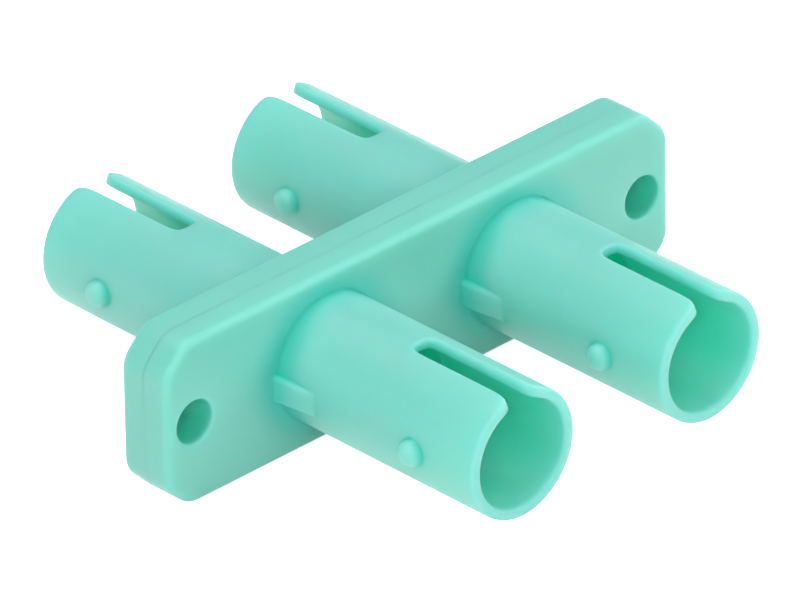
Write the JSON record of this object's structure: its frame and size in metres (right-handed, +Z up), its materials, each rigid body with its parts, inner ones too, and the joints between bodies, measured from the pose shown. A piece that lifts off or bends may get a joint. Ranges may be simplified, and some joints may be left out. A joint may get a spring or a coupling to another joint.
{
  "type": "st fibre adapter",
  "caption": "Duplex bayonet fibre adapter: chamfered flange with screw holes, and open slotted barrels with bayonet lugs on both faces.",
  "frame": {"origin": "middle of the flange, on the joint face of the two halves, half way between the ports: the middle of the bounding box", "axes": "+X along the flange, +Y along the barrels towards the rear pair, +Z up, the side that the key slots face"},
  "size_m": [0.0348, 0.0306, 0.0092],
  "materials": {
    "moulded_plastic": "satin aqua thermoplastic",
    "sleeve_ceramic": "polished white ceramic"
  },
  "bodies": {
    "root": {"front_housing": "moulded_plastic", "rear_housing": "moulded_plastic", "left_sleeve": "sleeve_ceramic", "right_sleeve": "sleeve_ceramic"}
  },
  "joints": []
}
